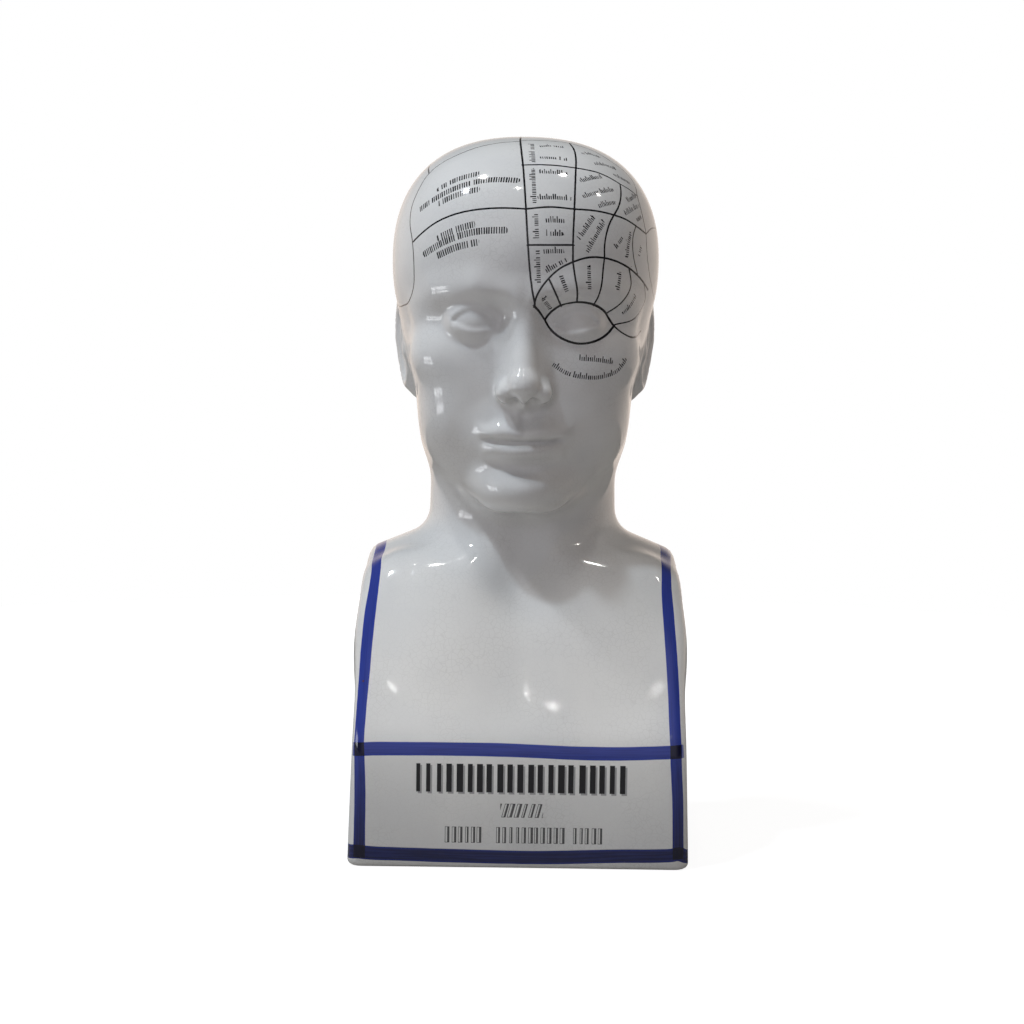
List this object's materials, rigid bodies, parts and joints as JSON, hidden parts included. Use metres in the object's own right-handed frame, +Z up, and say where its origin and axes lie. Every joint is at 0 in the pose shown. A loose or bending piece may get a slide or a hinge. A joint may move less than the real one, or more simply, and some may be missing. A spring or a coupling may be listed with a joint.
{
  "type": "phrenology head",
  "caption": "Glazed ceramic phrenology bust: a bald head and neck on a square-cut block, with a printed chart on the head and painted border bands.",
  "frame": {"origin": "middle of the flat underside of the block", "axes": "+Z up from the underside to the crown, the face looks along -Y, +X towards the bust's own left"},
  "size_m": [0.1352, 0.1404, 0.2898],
  "materials": {
    "glaze": "glossy off-white crackle glaze with black printed lines and cobalt blue bands"
  },
  "bodies": {
    "root": {"phrenology_bust": "glaze"}
  },
  "joints": []
}
